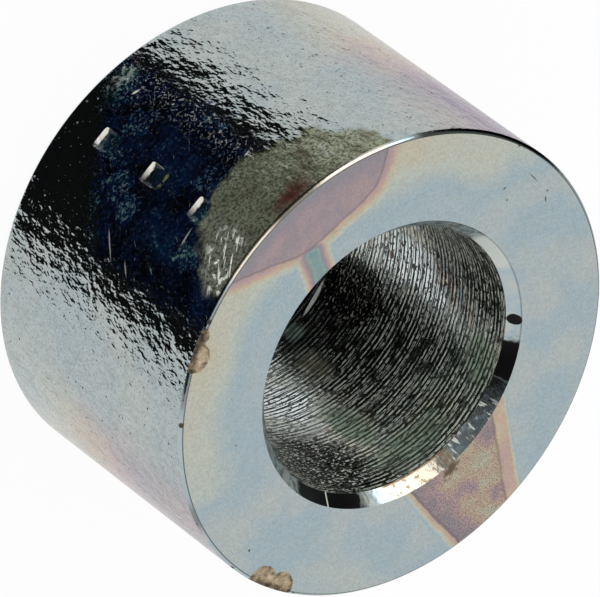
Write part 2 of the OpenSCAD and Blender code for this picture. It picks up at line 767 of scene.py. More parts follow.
# %% Group: pits
def make_pits():
    """The group that masks small spots in some of the cells of a Voronoi pattern."""
    tree, given, result = new_group(
        "Pits", "ShaderNodeTree",
        [("Point", VECTOR), ("Spacing", FLOAT), ("Size", FLOAT), ("Share", FLOAT)], [("Mask", FLOAT)])
    cells = node(tree, "ShaderNodeTexVoronoi", {
        "Vector": given["Point"], "Scale": 1.0 / given["Spacing"],
    })
    drawn_lot = node(tree, "ShaderNodeSeparateColor", {"Color": cells["Color"]})[0]
    chosen = calc("LESS_THAN", drawn_lot, given["Share"])
    size = given["Size"] / given["Spacing"]
    fill(result["Mask"], ramp(cells["Distance"], size, size * 0.5) * chosen)
    return tree


pits = make_pits()
print("group:", pits.name)

# %% Group: nick grime
# Spots of grime in the nicks: angle, distance from the axis, radius
GRIME_SPOTS = [
    (25.6, 19.75, 1.3),
    (20.2, 20.0, 0.8),
    (97.6, 19.6, 1.35),
    (103.4, 19.6, 1.35),
]
GRIME_SHADES = [
    (0.24, paint(50, 40, 28)),
    (0.38, paint(112, 94, 68)),
    (0.52, paint(160, 142, 114)),
    (0.66, paint(190, 172, 144)),
    (0.80, paint(222, 212, 192)),
]
GRIME_DEEP = 0.27
CRUST_FROM = 19.3


def make_nick_grime():
    """The group that gives the mask and the colour of the grime."""
    tree, given, result = new_group(
        "Nick grime", "ShaderNodeTree", [("Point", VECTOR)], [("Mask", FLOAT), ("Colour", COLOUR)])
    level = vector("MULTIPLY", given["Point"], (1.0, 1.0, 0.0))
    inside = -1.0
    for angle, from_axis, radius in GRIME_SPOTS:
        inside = calc("SMOOTH_MAX", inside, radius - distance(level, around(angle, from_axis)), 0.4)
    wander = noise(given["Point"], 1.6, 4.0, 4.0) - 0.5
    inside = inside + wander * 0.4
    up = split(given["Point"])["Z"]
    near_front = ramp(up, length - GRIME_DEEP - 0.08, length - GRIME_DEEP)
    crust = ramp(distance(level, ORIGIN), CRUST_FROM, outer_r - 0.1, 0.04, -0.18)
    crumbs = noise(given["Point"], 2.6, 9.0, 4.0)
    shade = crumbs + (crust + ramp(inside, 0.0, 0.5, -0.08, 0.02))
    fill(result["Mask"], ramp(inside, 0.0, 0.12) * near_front)
    fill(result["Colour"], colour_ramp(shade, GRIME_SHADES))
    return tree


nick_grime = make_nick_grime()
print("group:", nick_grime.name)

# %% [markdown]
# ## Finishes
# Each zone of the ring has its own finish: the side is the bright plated skin, the faces
# are satin, the bore is grey-green and grooved, and the edges are bright cuts. All start
# from the same metal. A finish is then a list of layers from the bottom up, each with a
# mask that says where it lies, as dirt and films lie on the real plate; some of the layers
# are painted highlights and painted shade.

# %% Finish helpers
def empty_tree(holder):
    """The emptied node tree of a material or a world."""
    holder.use_nodes = True
    holder.node_tree.nodes.clear()
    return holder.node_tree


def start_finish(zone):
    """Starts a zone's material; gives its metal shader and its ring place."""
    tree = empty_tree(finishes[zone])
    metal = node(tree, "ShaderNodeBsdfPrincipled")
    node(tree, "ShaderNodeOutputMaterial", {"Surface": metal[0]})
    return metal.node, node(tree, "ShaderNodeGroup", node_tree=ring_place)


def blend(share, first, second):
    """Mixes two colours; a share of 0 gives the first."""
    return node(share.tree, "ShaderNodeMix", {0: share, 6: first, 7: second}, data_type="RGBA")[2]


def lean(share, first, second):
    """Mixes two numbers; a share of 0 gives the first."""
    return node(share.tree, "ShaderNodeMix", {0: share, 2: first, 3: second}, data_type="FLOAT")[0]


def layered(colour, layers):
    """Lays colours over a colour, from the bottom up; each layer is a mask and its colour."""
    for mask, tint in layers:
        colour = blend(mask, colour, tint)
    return colour


def adjusted(value, layers):
    """Changes a number layer by layer; each layer is a mask and its number."""
    for mask, number in layers:
        value = lean(mask, value, number)
    return value


def film(thickness):
    """The colour of a chromate film of that thickness."""
    return use(film_colour, {"Thickness": thickness})["Colour"]


def peeled(where, dimple, seed):
    """The orange peel at this place: its height and its valleys."""
    return use(orange_peel, {"Point": where["Place"], "Dimple": dimple, "Seed": seed})


def specks(where, spacing, size, share):
    """A mask of scattered small spots."""
    return use(pits, {"Point": where["Place"], "Spacing": spacing, "Size": size, "Share": share})["Mask"]


def drawn(point, stretch, seed, detail, scale=1.0):
    """Noise that is drawn out in one direction."""
    return noise(vector("MULTIPLY", point, stretch), scale, seed, detail)


def past(place, point, way):
    """How far a place lies past a point in one level direction, in millimetres."""
    offset = vector("SUBTRACT", place, (*point, 0.0))
    return vector("DOT_PRODUCT", offset, (*way, 0.0), result="Value")


def inside_all(place, edges, rounding):
    """How far inside all the straight edges of a stain a place lies, with rounded corners."""
    inside = past(place, *edges[0])
    for edge in edges[1:]:
        inside = calc("SMOOTH_MIN", inside, past(place, *edge), rounding)
    return inside


def between(value, start, end, soft):
    """1 where a value lies between start and end, with soft edges."""
    return ramp(value, start - soft, start + soft) * ramp(value, end + soft, end - soft)


def waver(place, seed, reach):
    """Noise that moves the edge of a stain in and out."""
    return (noise(place, 0.6, seed, 4.0) - 0.5) * reach


def grimy(where, colour, roughness, metallic):
    """Puts the nicks' grime over a finish."""
    grime = use(nick_grime, {"Point": where["Place"]})
    mask = grime["Mask"]
    return blend(mask, colour, grime["Colour"]), lean(mask, roughness, 0.6), lean(mask, metallic, 0.15)


def coat(metal, colour, roughness, metallic, relief, depth_mm):
    """Feeds a finish into its metal: colour, roughness, metallic share, and relief as a bump."""
    bump = node(relief.tree, "ShaderNodeBump", {"Strength": 1.0, "Distance": depth_mm * MM, "Height": relief})
    fill(metal.inputs["Base Color"], colour)
    fill(metal.inputs["Roughness"], roughness)
    fill(metal.inputs["Metallic"], metallic)
    fill(metal.inputs["Normal"], bump[0])


print("finish helpers ready")

# %% [markdown]
# ## The side
# The side keeps the skin of the rolled bar, so its plate has a leathery
# sheen. Where the bath ran together and dried, the film grew thick: ink blue with crinkled teal places, and
# dull olive at the rim with a scraped end. The jaw marks bit through it; their walls carry a painted
# highlight and their pockets some painted shade. A film here is an outline of straight or ragged edges,
# a colour and a few light flecks; the whitest flecks, and pale specks all over, are painted glints of the
# peel, and the far sides carry a painted iridescent sheen.

# %% Stains of the side
INK = [
    (0.40, paint(10, 9, 14)),
    (0.46, paint(9, 21, 46)),
    (0.52, paint(13, 36, 74)),
    (0.57, paint(24, 66, 86)),
    (0.62, paint(84, 122, 122)),
    (0.69, paint(186, 202, 196)),
]
# Crinkled teal places in the ink-blue film: round and up the side, then their radii
INK_CRINKLES = [
    ((-4.6, 2.6), (2.6, 2.8)),
    ((-3.4, 6.6), (1.6, 1.8)),
    ((-0.2, 6.2), (1.5, 2.2)),
    ((1.4, 9.2), (1.5, 2.0)),
    ((2.4, 11.1), (1.6, 1.8)),
    ((4.1, 7.2), (1.6, 1.8)),
    ((6.4, 8.2), (1.4, 1.8)),
    ((3.4, 15.6), (0.8, 0.9)),
    ((2.9, 19.6), (1.2, 2.0)),
    ((-0.3, 18.4), (1.0, 1.2)),
    ((-3.3, 16.6), (2.0, 1.6)),
    ((-7.2, 12.2), (1.2, 1.6)),
]
# Light scratches in the films of the side: centre, half length and half width, turn, share
SIDE_SCRATCHES = [
    ((5.6, 11.5), (1.7, 0.1), -41.0, 0.55),
    ((6.4, 14.2), (0.9, 0.1), -42.0, 0.5),
    ((1.6, 18.4), (1.1, 0.12), -2.0, 0.55),
    ((-5.2, 3.9), (0.45, 0.16), 20.0, 1.0),
    ((-6.5, 17.3), (0.4, 0.12), -14.0, 0.7),
]
OLIVE = [
    (0.30, paint(126, 120, 98)),
    (0.46, paint(156, 163, 136)),
    (0.62, paint(168, 175, 150)),
    (0.72, paint(182, 186, 170)),
]
# Straight sides of the ink-blue film: a point on each, round and up the side, then the way in
INK_SIDES = [
    ((-8.4, 12.0), (1.0, 0.0)),
    ((7.8, 12.0), (-1.0, 0.0)),
    ((-5.0, -0.2), (-0.614, 0.789)),
]
STROKE_STRETCH = (0.5, 4.0, 1.0)


def strokes(spot, turn, scale, seed):
    """Short straight strokes that all run the same way over the side."""
    return drawn(rotated(spot, math.radians(turn)), STROKE_STRETCH, seed, 3.0, scale)


def ink_film(spot):
    """The ink-blue film: where it lies, its colour and its light flecks, the whitest of them painted glints
    of the peel.
    """
    grain = noise(spot, 3.0, 12.0, 6.0, 0.6)
    inside = inside_all(spot, INK_SIDES, 2.0) + waver(spot, 10.0, 3.0)
    mask = ramp(inside + (grain - 0.5) * 6.0, -1.0, 3.0)

    crinkle = patches(spot, INK_CRINKLES, 71.0, ragged=2.0, grain=0.8, soft=0.5)
    pale = patch(spot, (-5.4, 1.4), (2.2, 2.0), ragged=0.9, grain=0.9, soft=0.6, seed=16.0)
    broad = noise(spot, 0.4, 11.0, 3.0) * 0.35
    calmer = lean(ramp(crinkle, 0.0, 1.0, 0.55, 1.0), 0.5, grain)
    lift = ramp(crinkle, 0.0, 1.0, 0.035, 0.115) + pale * 0.13
    colour = colour_ramp(broad + calmer * 0.5 + lift, INK)

    fold = abs(noise(spot, 2.0, 18.0, 4.0) - 0.5)
    # Painted glints: near the first straight side the flecks are whiter and more crowded, for the peel's
    # reflections
    peel_glint_side = ramp(past(spot, *INK_SIDES[0]), 4.6, 1.6)
    crinkled = most(ramp(crinkle, 0.0, 1.0, 0.12, 0.85), peel_glint_side)
    wrinkles = ramp(fold, 0.03, 0.006) * ramp(grain, 0.46, 0.58) * crinkled
    scraped = ramp(strokes(spot, -50.0, 1.4, 19.0), 0.68, 0.73)
    flecks = most(wrinkles, scraped) * ramp(inside, 0.0, 2.0, 0.0, 0.9)
    fleck_colour = blend(peel_glint_side, paint(128, 150, 148), paint(226, 226, 214))
    return mask, blend(flecks, colour, fleck_colour), flecks


def olive_film(spot):
    """The dull olive film at the rim: where it lies, its colour and its bright scrapes."""
    mask = patch(spot, (-5.5, 25.6), (10.6, 8.6), ragged=0.4, grain=0.6, soft=0.26, seed=5.0)
    rusty = patch(spot, (-6.1, 23.9), (3.0, 1.4), ragged=0.8, grain=0.9, soft=0.9, seed=14.0)
    pale = patch(spot, (2.0, 23.0), (4.4, 2.6), -14.0, ragged=0.6, grain=0.9, soft=0.5, seed=15.0)
    sand = noise(spot, 4.0, 13.0, 4.0, 0.7)
    scrapes = ramp(strokes(spot, -35.0, 1.2, 17.0), 0.56, 0.66)
    blotches = ramp(noise(spot, 1.3, 20.0, 4.0), 0.56, 0.64)
    bright = pale * most(scrapes, blotches)
    colour = layered(colour_ramp(noise(spot, 0.45, 12.0, 2.0), OLIVE), [
        (rusty * 0.95, paint(116, 46, 42)),
        (pale * 0.7, paint(182, 188, 174)),
        (ramp(sand, 0.42, 0.62, 0.0, 0.8), paint(70, 72, 58)),
        (bright, paint(244, 246, 236)),
    ])
    return mask, colour, bright


print("stains of the side ready")

# %% Finish of the side
CLEAN_ROUGH = 0.1
PEEL_DEPTH = 0.12
LILAC_ANGLE = -84.0
MIDDLE_MARK = 1.5 * mark_pitch


def mark_masks(where):
    """The wall of each jaw mark, painted as a highlight that fades towards one end, the rest of the mark, and
    its thin rubbed edge.
    """
    sunk = ramp(where["Radius"], outer_r - 0.006, outer_r - 0.03)
    torn = noise(where["Place"], 1.8, 18.0, 4.0)
    above = where["Height"] - mark_start
    along = calc("FLOORED_MODULO", above, mark_pitch)
    worn = along + (torn - 0.5) * 0.5
    wall = sunk * ramp(worn, mark_wall + 0.08, mark_wall - 0.06)
    pocket = sunk - wall
    shallow = pocket * ramp(where["Radius"], outer_r - 0.09, outer_r - 0.05)
    # Painted shade: the wall's highlight fades towards one end of the mark
    lit_end = ramp(where["Angle"], mark_angle + 2.8, mark_angle - 1.4, 0.16, 1.0)
    in_middle = calc("LESS_THAN", abs(above - MIDDLE_MARK), mark_pitch / 2)
    rubbed = shallow * ramp(torn, 0.46, 0.6)
    return wall * lit_end, pocket, rubbed * in_middle


def clean_side(where, valley_shade):
    """The bright plate of the side, with a painted iridescent sheen that grows towards the far sides and the
    front, and painted shade in the dimples' valleys.
    """
    cloud = noise(where["Place"], 0.14, 7.0, 3.0)
    # Painted sheen: the film's iridescent tint at a grazing view, fixed to the far sides, the front and a
    # lilac patch
    far_side_sheen = ramp(abs(where["Angle"]), 48.0, 74.0, 0.0, 0.9)
    tide = ramp(where["Height"], 4.0, 19.0, 0.21, 0.56, smooth=False)
    tide = tide + ramp(where["Angle"], 0.0, -70.0, 0.0, 0.06)
    thickness = tide + ramp(cloud, 0.3, 0.7, -0.08, 0.08)
    high_up = ramp(where["Height"], 9.0, 18.0, 0.0, 0.7)
    lilac = ramp(abs(where["Angle"] - LILAC_ANGLE), 20.0, 9.0) * high_up
    grain = noise(where["Place"], 6.0, 8.0, 2.0)
    return layered(film(ramp(cloud, 0.35, 0.65, 0.0, 0.07)), [
        (far_side_sheen, film(thickness)),
        (lilac, paint(128, 94, 144)),
        # Painted shade in the valleys of the dimples
        (valley_shade * 0.16, paint(112, 118, 118)),
        (ramp(grain, 0.52, 0.66, 0.0, 0.42), paint(92, 98, 100)),
    ])


def finish_side():
    """Lays the films, the marks, the pits and the scratches over the plate."""
    metal, where = start_finish("side")
    spot = where["Unrolled"]
    peel = peeled(where, 0.42, 1.0)
    pit = specks(where, 0.6, 0.11, 0.16)
    ink, ink_colour, flecks = ink_film(spot)
    # Painted glints: small pale specks for the peel's reflections, fewer inside the ink film
    painted_glint = specks(where, 0.3, 0.055, 0.26) * ramp(ink, 0.0, 1.0, 1.0, 0.4)
    scratch = patches(spot, SIDE_SCRATCHES, 91.0, ragged=0.7, grain=1.5, soft=0.6)
    olive, olive_colour, scrapes = olive_film(spot)
    wall, pocket, rubbed = mark_masks(where)

    colour = layered(clean_side(where, peel["Valley"]), [
        (ramp(ink, 0.0, 0.6), ink_colour),
        # Partly painted shade: the jaw marks' pockets darkened towards teal
        (pocket * 0.3, paint(26, 60, 62)),
        (rubbed * 0.8, paint(150, 160, 100)),
        (ramp(olive, 0.0, 0.5), olive_colour),
        (scratch, paint(214, 216, 208)),
        (pit, paint(20, 20, 22)),
        (painted_glint, paint(168, 178, 176)),
        # Painted highlight on the steep walls of the jaw marks
        (wall, paint(252, 248, 236)),
    ])
    roughness = adjusted(CLEAN_ROUGH, [(ink, 0.15), (olive, 0.34), (wall, 0.45)])
    metallic = adjusted(1.0, [
        (ramp(ink, 0.25, 1.0), 0.62),
        (pocket, 0.58),
        (ramp(olive, 0.4, 1.0), 0.7),
        (most(flecks, rubbed), 0.5),
        (painted_glint, 0.6),
        (most(wall, scrapes * olive, scratch), 0.1),
    ])
    coat(metal, *grimy(where, colour, roughness, metallic), peel["Height"] - pit, PEEL_DEPTH)


finish_side()
print("side finished")

# %% [markdown]
# ## The faces
# A faced end is satin, with a fine grain, a few pits and faint hair scratches. Its film is
# thin: blue at the bore and cream towards the rim. On the front the bath dried in three
# stains: a mauve crescent at the rim, a run from there to the bore, and a mottled wedge
# opposite. Each is a distance inside straight edges that becomes a thickness of film, so
# its coloured fringes come out in the right order.

# %% Stains of the front face
# One straight edge of a stain: a point on it, then the direction into the stain
CRESCENT_EDGES = [
    ((-0.35, -17.28), (-0.6635, -0.7482)),
    ((-6.9, -13.85), (-0.25, -0.968)),
    ((-9.9, -12.9), (0.463, -0.886)),
]
WEDGE_DARK_EDGE = ((7.27, 10.16), (-0.992, 0.126))
WEDGE_PINK_EDGE = ((-3.07, 12.16), (0.832, -0.554))
WEDGE_FAR_SIDE = ((0.0, 8.0), (0.0, 1.0))
LANE_CENTRE = (-2.73, -13.53)
LANE_ACROSS = (0.9087, -0.4176)
LANE_ALONG = (0.4176, 0.9087)
VIOLET_SPOTS = [(4.1, 15.1), (-0.2, 13.2), (3.2, 17.9)]


def crescent_inside(place):
    """How far inside the crescent at the rim a place lies."""
    return inside_all(place, CRESCENT_EDGES, 0.8) + waver(place, 31.0, 0.6)


def lane_film(place):
    """Film of the run from the crescent to the bore, thickest along its middle."""
    aside = past(place, LANE_CENTRE, LANE_ACROSS) + waver(place, 33.0, 0.5)
    along = past(place, LANE_CENTRE, LANE_ALONG)
    ends = ramp(along, -2.6, -1.0) * ramp(along, 5.0, 3.0)
    return ramp(abs(aside), 1.9, 0.2, 0.0, 0.71) * ends


def wedge_inside(place, edge, seed):
    """How far inside one edge of the wedge a place lies; far outside on the other half."""
    beyond = ramp(past(place, *WEDGE_FAR_SIDE), 1.0, 0.0, 0.0, -50.0)
    return past(place, *edge) + waver(place, seed, 0.5) + beyond


def wedge_film(place, dark_side):
    """Mottled film inside the wedge: thick and mauve at its dark edge, with violet spots."""
    mottle = ramp(noise(place, 0.7, 35.0, 5.0), 0.3, 0.7, 0.27, 0.45)
    level = vector("MULTIPLY", place, (1.0, 1.0, 0.0))
    for x, y in VIOLET_SPOTS:
        mottle = mottle + ramp(distance(level, (x, y, 0.0)), 1.7, 0.1, 0.0, 0.15)
    return mottle + ramp(dark_side, 3.6, 0.4, 0.0, 0.22)


def front_stains(where, thickness):
    """Film with the stains of the front face, and how dark each speckled or lined place is."""
    place = where["Place"]
    crescent = crescent_inside(place)
    dark_side = wedge_inside(place, WEDGE_DARK_EDGE, 34.0)
    pink_side = wedge_inside(place, WEDGE_PINK_EDGE, 36.0)
    lane = lane_film(place)
    wedge_edge = ramp(dark_side, -0.9, 0.0) * ramp(pink_side, -0.4, 0.15)
    fringe = most(ramp(crescent, -1.3, 0.0, 0.0, 0.24), wedge_edge * 0.34)
    in_crescent = ramp(crescent, 0.0, 0.18)
    in_wedge = ramp(dark_side, 0.0, 0.15) * ramp(pink_side, 1.0, 1.3)
    mottle = ramp(noise(place, 0.8, 39.0, 5.0), 0.3, 0.7, -0.04, 0.04)
    mauve = ramp(where["Radius"], 18.3, 19.6, 0.56, 0.66) + mottle
    thickness = adjusted(thickness + most(fringe, lane), [
        (in_crescent, most(mauve, lane + 0.1)),
        (in_wedge, wedge_film(place, dark_side)),
    ])

    speckle = ramp(noise(place, 7.0, 37.0, 3.0), 0.38, 0.66)
    speckled = lean(in_wedge, in_crescent * 0.1, 0.55) * speckle
    crescent_line = ramp(abs(crescent - 0.12), 0.16, 0.04, 0.0, 0.3)
    dark_line = ramp(abs(dark_side - 0.2), 0.22, 0.04, 0.0, 0.42) * wedge_edge
    pink_line = ramp(abs(pink_side - 1.25), 0.22, 0.04, 0.0, 0.42) * wedge_edge
    return thickness, most(speckled, crescent_line, dark_line, pink_line)


print("stains of the front face ready")

# %% Finish of the faces
# Small dark pits and a scratch: centre, half length and half width, turn
FACE_TICKS = [
    ((-16.1, -1.8), (0.2, 0.14), 0.0),
    ((-15.5, -0.8), (0.12, 0.1), 0.0),
    ((-18.0, 2.2), (0.14, 0.12), 0.0),
    ((-17.4, 2.6), (0.36, 0.1), -50.0),
    ((-18.15, 0.05), (0.85, 0.06), -85.0),
]
TICK_DEEP = 2.0
HAIR_STRETCH = (0.4, 7.0, 1.0)
FACE_RELIEF = 0.008


def face_film(where):
    """Thin film of a clean face: blue at the bore, cream towards the rim on one half."""
    turned = calc("WRAP", where["Angle"] + 10.0, 180.0, -180.0)
    half = ramp(abs(turned), 95.0, 50.0)
    outward = ramp(where["Radius"], 13.5, 18.6, 0.07, 0.24)
    cloud = ramp(noise(where["Place"], 0.2, 21.0, 3.0), 0.3, 0.7)
    return lean(half, cloud * 0.13, outward + cloud * 0.06)


def hairs(place, turn, seed):
    """Faint straight hair scratches that run one way over a face."""
    return ramp(drawn(rotated(place, math.radians(turn)), HAIR_STRETCH, seed, 2.0), 0.66, 0.76)


def dark_ticks(place, darkness):
    """The layers of dark lines and speckles, of the burr at the bore and of the small pits."""
    burr = patch(place, (3.8, 12.2, length), (1.2, 0.75, TICK_DEEP),
                 ragged=1.8, grain=2.4, soft=0.7, seed=38.0)
    layers = [(darkness, paint(72, 66, 62)), (burr * 0.85, paint(88, 78, 58))]
    for centre, radii, turn in FACE_TICKS:
        tick = patch(place, (*centre, length), (*radii, TICK_DEEP), turn,
                     ragged=0.6, grain=2.4, soft=0.6, seed=40.0)
        layers.append((tick * 0.8, paint(60, 54, 44)))
    return layers


def finish_face(zone, stained):
    """Lays film, grain and scratches over a face, and the stains if it has them."""
    metal, where = start_finish(zone)
    place = where["Place"]
    grain = noise(place, 5.5, 22.0, 3.0)
    thickness = face_film(where)
    if stained:
        thickness, darkness = front_stains(where, thickness)
    scratched = most(hairs(place, 28.0, 23.0), hairs(place, -64.0, 24.0))
    colour = layered(film(thickness), [
        (scratched * 0.42, paint(98, 102, 98)),
        (ramp(grain, 0.35, 0.7, 0.0, 0.22), paint(120, 124, 120)),
        (specks(where, 1.5, 0.14, 0.08), paint(66, 66, 60)),
    ])
    layers = (colour, ramp(grain, 0.3, 0.7, 0.26, 0.36), 1.0)
    if stained:
        layers = grimy(where, layered(colour, dark_ticks(place, darkness)), *layers[1:])
    coat(metal, *layers, grain, FACE_RELIEF)


finish_face("front_face", True)
finish_face("back_face", False)
print("faces finished")

# %% [markdown]
# ## The bore
# A drill leaves crests and valleys that run round as a helix and are torn here and there;
# the crests are painted as thin bright highlights and the valleys as painted shade. Two
# helices of different pitch, broken up by noise, make that pattern on top of the groove in
# the mesh. Over it lie dull places where the plating is thin, places painted dark as shade
# with painted glinting grains, polished ones, and a little dirt.

# %% Lines and places of the bore
BORE_TINTS = [
    (0.35, paint(208, 218, 208)),
    (0.50, paint(226, 234, 230)),
    (0.62, paint(220, 214, 192)),
    (0.72, paint(188, 212, 206)),
]
SECOND_PITCH = 0.39
SECOND_SEED = 5.0
BORE_RELIEF = 0.045
# Dull grey-green places: millimetres round from +Y and up, then their radii
DULL_PATCHES = [
    ((-4.4, 21.5), (5.0, 3.0)),
    ((-6.0, 15.5), (1.8, 4.8)),
    ((4.6, 22.0), (2.8, 2.8)),
]
# Places painted dark as shade, in the same measure, and the share of painted glinting grains in each
DARK_PATCHES = [
    ((-11.8, 18.8), (4.4, 5.6)),
    ((2.8, 6.0), (3.0, 4.4)),
]
SPARKLE_SHARES = [1.0, 0.6]
SPARKLING_PATCHES = [(*row, 0.0, share) for row, share in zip(DARK_PATCHES, SPARKLE_SHARES)]
# Polished places, where bright metal shows between grooves painted black as shade
POLISHED_PATCHES = [
    ((8.0, 12.6), (3.4, 7.2)),
    ((-8.2, 10.0), (2.6, 3.6)),
]


def mouth_spot(where, radius, up):
    """A place near the bore, unrolled: millimetres round from +Y, then up."""
    turned = calc("WRAP", where["Angle"] - 180.0, 180.0, -180.0)
    return join(turned * (radius * math.radians(1.0)), up)


def drill_lines(where):
    """The drill's marks along two helices: painted highlights on thin beaded crests, painted shade in the
    valleys, torn grains, relief.
    """
    at = (where["Place"], where["Angle"], where["Height"])
    first = helix_wave(*at, GROOVE_PITCH, GROOVE_SEED)
    second = helix_wave(*at, SECOND_PITCH, SECOND_SEED)
    crest_highlight = most(ramp(first, 0.35, 0.42), ramp(second, 0.39, 0.46))
    valley_shade = most(ramp(first, 0.21, 0.14), ramp(second, 0.16, 0.1))
    grains = drawn(where["Place"], (2.4, 2.4, 4.4), 43.0, 3.0)
    dashes = noise(where["Place"], 0.8, 44.0, 3.0)
    beads = ramp(grains, 0.4, 0.54, 0.15, 1.0) * ramp(dashes, 0.36, 0.5)
    kept = beads * ramp(where["Height"], 4.0, 11.0, 0.25, 1.0)
    relief = first * 0.7 + second * 0.5 + grains
    return crest_highlight * kept, valley_shade * ramp(grains, 0.38, 0.5, 0.5, 1.0), grains, relief


print("lines and places of the bore ready")

# %% Finish of the bore
def finish_bore():
    """Lays tints and dirt, painted shade in the grooves and dark places and painted highlights on the crests
    over the metal of the bore.
    """
    metal, where = start_finish("bore")
    place = where["Place"]
    spot = mouth_spot(where, bore_r, where["Height"])
    crest_highlight, valley_shade, grains, relief = drill_lines(where)
    dull = patches(spot, DULL_PATCHES, 44.0, ragged=0.6, grain=0.5, soft=0.7)
    polished = patches(spot, POLISHED_PATCHES, 81.0, ragged=0.6, grain=0.6, soft=0.6)
    dark = patches(spot, DARK_PATCHES, 51.0, ragged=1.3, grain=2.2, soft=0.3)
    sparkling = patches(spot, SPARKLING_PATCHES, 51.0, ragged=1.3, grain=2.2, soft=0.3)
    streak = patch(spot, (0.48, 2.68), (2.0, 0.26), 7.0, ragged=0.5, grain=1.5, soft=0.4, seed=47.0)
    rust = patch(spot, (7.5, 8.93), (0.5, 0.45), ragged=1.2, grain=2.5, soft=0.6, seed=48.0)
    rainbow = patch(spot, (8.4, 17.6), (2.4, 5.4), -26.0, ragged=0.6, grain=0.5, soft=0.8, seed=49.0)
    shaded = patch(spot, (11.2, 20.6), (2.8, 3.4), ragged=0.6, grain=0.9, soft=0.6, seed=50.0)
    teal = patch(spot, (-2.6, 3.3), (1.1, 1.5), ragged=1.0, grain=1.2, soft=0.7, seed=84.0)
    brown = patch(spot, (-3.8, 7.6), (1.6, 3.0), ragged=1.0, grain=1.2, soft=0.7, seed=85.0)

    fringes = ramp(drawn(place, (0.5, 0.5, 1.6), 50.0, 3.0), 0.3, 0.7, 0.2, 0.98)
    crumbs = ramp(drawn(place, (3.0, 3.0, 5.0), 45.0, 2.0), 0.57, 0.62)
    # Painted highlights: the crests, fainter in the dark and polished places, glinting grains in the dark
    # places, and the white streak
    crest_highlight = crest_highlight * ramp(dark, 0.0, 1.0, 1.0, 0.35) * ramp(polished, 0.0, 1.0, 1.0, 0.25)
    light = most(crest_highlight, crumbs * sparkling, streak)
    colour = layered(colour_ramp(noise(place, 0.25, 42.0, 3.0), BORE_TINTS), [
        (polished * 0.9, paint(240, 250, 252)),
        (rainbow, film(fringes)),
        (dull * 0.8, paint(186, 206, 184)),
        (shaded * 0.6, paint(60, 64, 56)),
        # Painted shade: the dark places and the low torn grains
        (dark * 0.85, paint(34, 37, 34)),
        (ramp(grains, 0.47, 0.4, 0.0, 0.85), paint(36, 40, 35)),
        (teal * 0.7, paint(150, 200, 184)),
        (brown * 0.7, paint(196, 188, 158)),
        # Painted shade in the grooves: black between the crests of the polished places and along every valley
        (polished * ramp(grains, 0.46, 0.41, 0.0, 0.9), paint(18, 21, 18)),
        (valley_shade * ramp(polished, 0.0, 1.0, 0.9, 1.0), paint(16, 19, 16)),
        (light, blend(dull, paint(236, 240, 230), paint(188, 216, 190))),
        (streak, paint(254, 254, 250)),
        (rust, paint(84, 58, 30)),
    ])
    roughness = adjusted(0.15, [(dull, 0.42), (light, 0.45)])
    metallic = adjusted(1.0, [
        (dull, 0.8), (teal, 0.45), (brown, 0.45), (light, 0.22), (streak, 0.0), (rust, 0.3),
    ])
    coat(metal, colour, roughness, metallic, relief * ramp(polished, 0.0, 1.0, 1.0, 0.4), BORE_RELIEF)


finish_bore()
print("bore finished")

# %% [markdown]
# ## The edges
# The countersinks and the broken rims are bright cuts. Dirt stays in them longest: the
# front countersink has black grime deepened as painted shade, soot, scraped ticks, a little
# rust and a pale patch painted as a highlight, and the front rim carries painted shade in
# dark stretches and along its inner edge.

# %% Finish of the edges
SINK_SLANT = math.hypot(sink_width, sink_depth) / sink_depth
SINK_MIDDLE = length - sink_depth / 2
SINK_TICK = -15.2
EDGE_SEED = 6.0
# Black patches on the countersink, grime deepened as painted shade: millimetres round from +Y and up the
# slant, then its radii
SINK_BLACK = [
    ((-15.2, 0.0), (3.8, 2.4)),
    ((5.9, 0.0), (1.8, 2.4)),
    ((9.47, 0.0), (0.5, 0.68)),
]
# Stretches of painted shade on the front rim: angle, half of its width in degrees, share
RIM_SHADE = [
    (-70.0, 21.0, 0.9),
    (-108.0, 20.0, 0.5),
    (-16.0, 7.0, 0.75),
    (14.0, 7.0, 0.55),
    (31.0, 7.0, 0.5),
    (68.0, 4.0, 0.5),
]
RIM_FADE = 3.0


def edge_layers(where):
    """Colour, roughness and metallic share of a clean bright edge."""
    cloud = noise(where["Place"], 0.5, 51.0, 3.0)
    return film(ramp(cloud, 0.3, 0.7, 0.0, 0.2)), ramp(cloud, 0.3, 0.7, 0.08, 0.18), 1.0


def finish_edge(zone):
    """A clean bright edge."""
    metal, where = start_finish(zone)
    coat(metal, *edge_layers(where), peeled(where, 0.5, EDGE_SEED)["Height"], 0.006)


